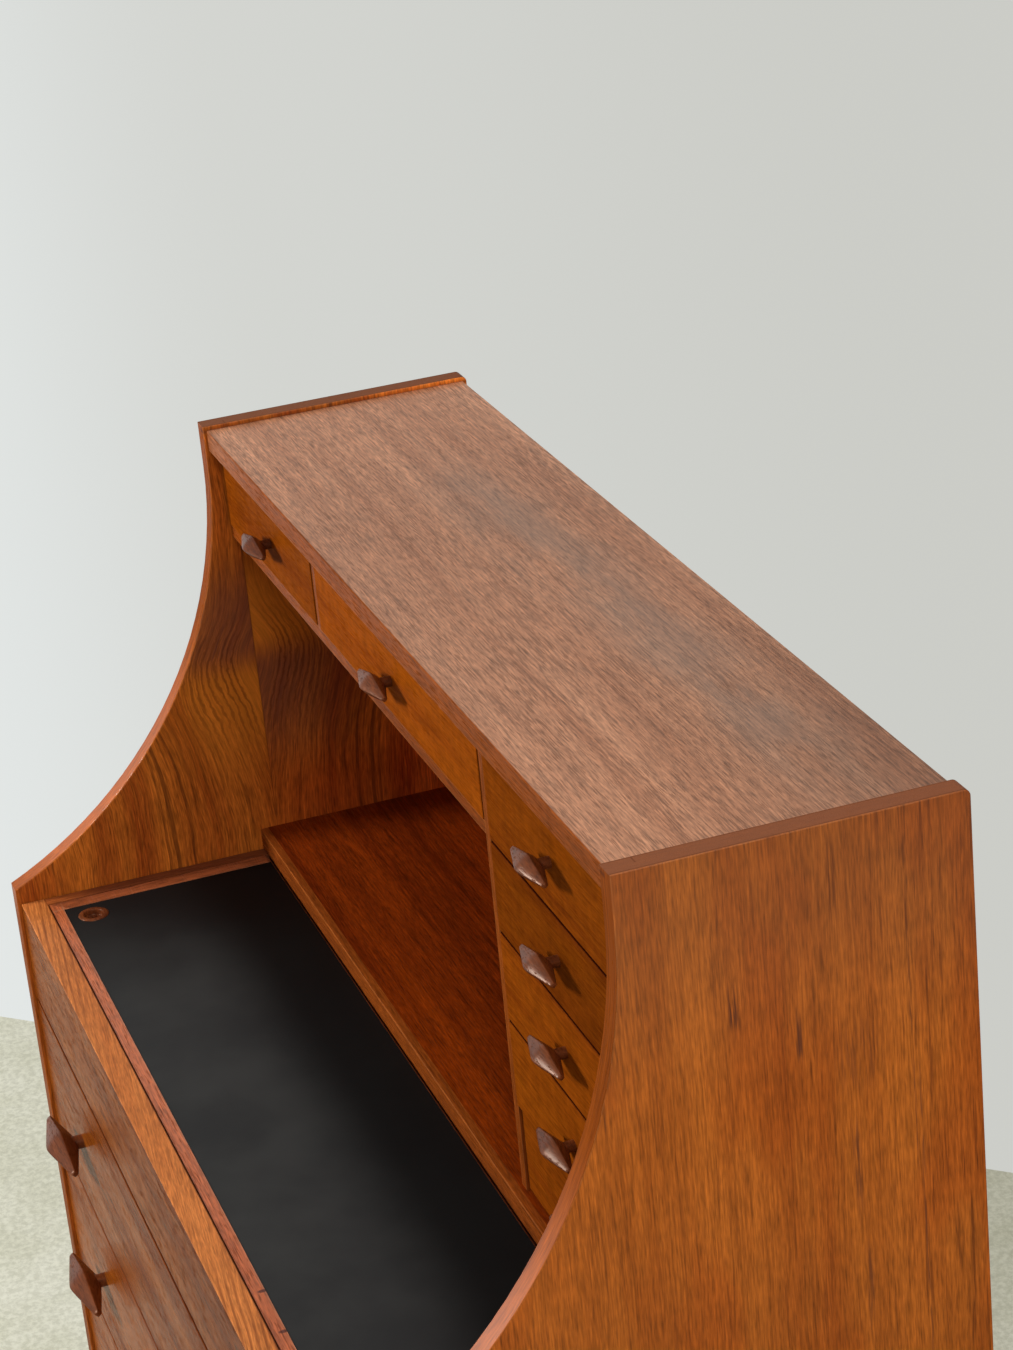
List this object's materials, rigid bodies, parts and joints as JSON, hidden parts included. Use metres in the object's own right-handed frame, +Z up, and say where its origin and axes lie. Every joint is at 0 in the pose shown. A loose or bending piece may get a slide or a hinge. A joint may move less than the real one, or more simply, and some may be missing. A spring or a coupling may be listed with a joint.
{
  "type": "secretary desk",
  "caption": "Teak secretary desk with curved sides, small upper drawers, a pull-out writing tray with a lifting leaf, wide lower drawers and splayed legs.",
  "frame": {"origin": "centre of the bounding box at floor level, pulls included", "axes": "+X to the right as seen from the front, +Y to the back, +Z up"},
  "size_m": [1, 0.4926, 1.15],
  "materials": {
    "teak": "oiled teak veneer with solid lippings, satin",
    "turned_teak": "solid teak, rubbed to a soft gloss",
    "drawer_wood": "plain pale hardwood, waxed",
    "thin_board": "thin plywood, sanded",
    "back_board": "veneered back board, matt",
    "runner_wood": "plain hardwood, waxed where it runs",
    "writing_surface": "black leather-grained covering, matt",
    "cup_wood": "turned dark hardwood, polished",
    "steel": "plain steel pin"
  },
  "bodies": {
    "case": {"case_bottom": "teak", "column_divider": "teak", "dowels": "runner_wood", "front_rail": "runner_wood", "left_divider": "teak", "leg_blocks": "turned_teak", "legs": "turned_teak", "lower_back": "back_board", "lower_runners": "runner_wood", "row_board": "teak", "shelf": "teak", "side_panel_left": "teak", "side_panel_right": "teak", "top_panel": "teak", "tray_runners": "runner_wood", "upper_back": "back_board", "upper_runners": "runner_wood"},
    "left_drawer": {"left_drawer_box": "drawer_wood", "left_drawer_front": "teak", "left_drawer_pull": "turned_teak"},
    "centre_drawer": {"centre_drawer_box": "drawer_wood", "centre_drawer_front": "teak", "centre_drawer_pull": "turned_teak"},
    "right_drawer_1": {"right_drawer_1_box": "drawer_wood", "right_drawer_1_front": "teak", "right_drawer_1_pull": "turned_teak"},
    "right_drawer_2": {"right_drawer_2_box": "drawer_wood", "right_drawer_2_front": "teak", "right_drawer_2_pull": "turned_teak"},
    "right_drawer_3": {"right_drawer_3_box": "drawer_wood", "right_drawer_3_front": "teak", "right_drawer_3_pull": "turned_teak"},
    "right_drawer_4": {"right_drawer_4_box": "drawer_wood", "right_drawer_4_front": "teak", "right_drawer_4_pull": "turned_teak"},
    "right_drawer_5": {"right_drawer_5_box": "drawer_wood", "right_drawer_5_front": "teak", "right_drawer_5_pull": "turned_teak"},
    "low_drawer_1": {"low_drawer_1_base": "thin_board", "low_drawer_1_box": "drawer_wood", "low_drawer_1_front": "teak", "low_drawer_1_pulls": "turned_teak"},
    "low_drawer_2": {"low_drawer_2_base": "thin_board", "low_drawer_2_box": "drawer_wood", "low_drawer_2_front": "teak", "low_drawer_2_pulls": "turned_teak"},
    "low_drawer_3": {"low_drawer_3_base": "thin_board", "low_drawer_3_box": "drawer_wood", "low_drawer_3_front": "teak", "low_drawer_3_pulls": "turned_teak"},
    "tray": {"tray_front": "teak", "tray_box": "teak", "tray_base": "thin_board", "deck_board": "runner_wood", "deck_surface": "writing_surface", "leaf_rests": "runner_wood", "leaf_pivots": "steel"},
    "leaf": {"leaf_frame": "teak", "leaf_surface": "writing_surface", "finger_cups": "cup_wood"}
  },
  "joints": [
    {"name": "left_drawer_slide", "type": "slide", "parent": "case", "child": "left_drawer", "axis": [0, -1, 0], "range_m": [0, 0.14]},
    {"name": "centre_drawer_slide", "type": "slide", "parent": "case", "child": "centre_drawer", "axis": [0, -1, 0], "range_m": [0, 0.14]},
    {"name": "right_drawer_1_slide", "type": "slide", "parent": "case", "child": "right_drawer_1", "axis": [0, -1, 0], "range_m": [0, 0.14]},
    {"name": "right_drawer_2_slide", "type": "slide", "parent": "case", "child": "right_drawer_2", "axis": [0, -1, 0], "range_m": [0, 0.14]},
    {"name": "right_drawer_3_slide", "type": "slide", "parent": "case", "child": "right_drawer_3", "axis": [0, -1, 0], "range_m": [0, 0.14]},
    {"name": "right_drawer_4_slide", "type": "slide", "parent": "case", "child": "right_drawer_4", "axis": [0, -1, 0], "range_m": [0, 0.14]},
    {"name": "right_drawer_5_slide", "type": "slide", "parent": "case", "child": "right_drawer_5", "axis": [0, -1, 0], "range_m": [0, 0.14]},
    {"name": "low_drawer_1_slide", "type": "slide", "parent": "case", "child": "low_drawer_1", "axis": [0, -1, 0], "range_m": [0, 0.3]},
    {"name": "low_drawer_2_slide", "type": "slide", "parent": "case", "child": "low_drawer_2", "axis": [0, -1, 0], "range_m": [0, 0.3]},
    {"name": "low_drawer_3_slide", "type": "slide", "parent": "case", "child": "low_drawer_3", "axis": [0, -1, 0], "range_m": [0, 0.3]},
    {"name": "tray_slide", "type": "slide", "parent": "case", "child": "tray", "axis": [0, -1, 0], "range_m": [0, 0.2]},
    {"name": "leaf_lift", "type": "hinge", "parent": "tray", "child": "leaf", "pos_m": [0, 0.00535, 0.7397], "axis": [-1, 0, 0], "range_deg": [0, 70]}
  ]
}
